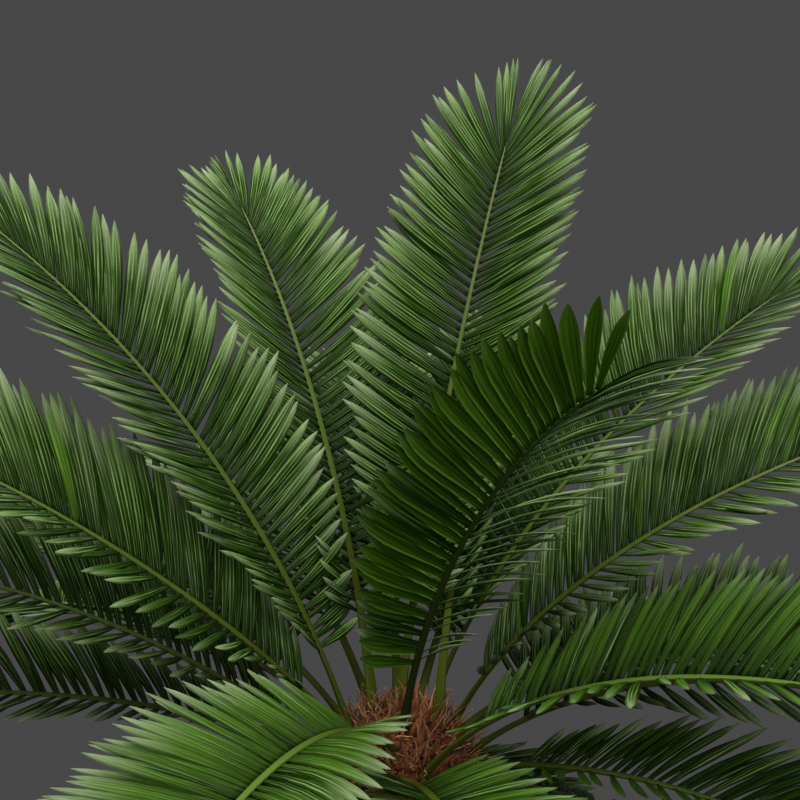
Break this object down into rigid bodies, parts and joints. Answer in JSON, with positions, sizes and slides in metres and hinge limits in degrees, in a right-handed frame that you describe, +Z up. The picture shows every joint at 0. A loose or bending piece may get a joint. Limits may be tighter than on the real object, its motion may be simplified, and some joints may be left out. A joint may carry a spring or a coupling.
{
  "type": "sago palm",
  "caption": "Low sago palm: a stout trunk clad in old leaf bases, a domed crown of pointed scale leaves, and long arching feather fronds set in rings all round it.",
  "frame": {"origin": "middle of the flat cut under the trunk, at ground level", "axes": "+Z up along the trunk, -Y towards the viewer, +X to the viewer's right"},
  "size_m": [1.5053, 1.2145, 1.0731],
  "materials": {
    "bark": "rough, clad in old leaf bases",
    "scales": "matte, fibrous",
    "frond": "waxy, half glossy"
  },
  "bodies": {
    "root": {"trunk": "bark", "crown": "scales", "inner_frond_1": "frond", "inner_frond_2": "frond", "inner_frond_3": "frond", "inner_frond_4": "frond", "middle_frond_1": "frond", "middle_frond_2": "frond", "middle_frond_3": "frond", "middle_frond_4": "frond", "middle_frond_5": "frond", "middle_frond_6": "frond", "middle_frond_7": "frond", "middle_frond_8": "frond", "middle_frond_9": "frond", "middle_frond_10": "frond", "outer_frond_1": "frond", "outer_frond_2": "frond", "outer_frond_3": "frond", "outer_frond_4": "frond", "outer_frond_5": "frond", "outer_frond_6": "frond", "outer_frond_7": "frond", "outer_frond_8": "frond", "low_frond_1": "frond", "low_frond_2": "frond", "low_frond_3": "frond", "low_frond_4": "frond", "low_frond_5": "frond", "low_frond_6": "frond", "low_frond_7": "frond"}
  },
  "joints": []
}
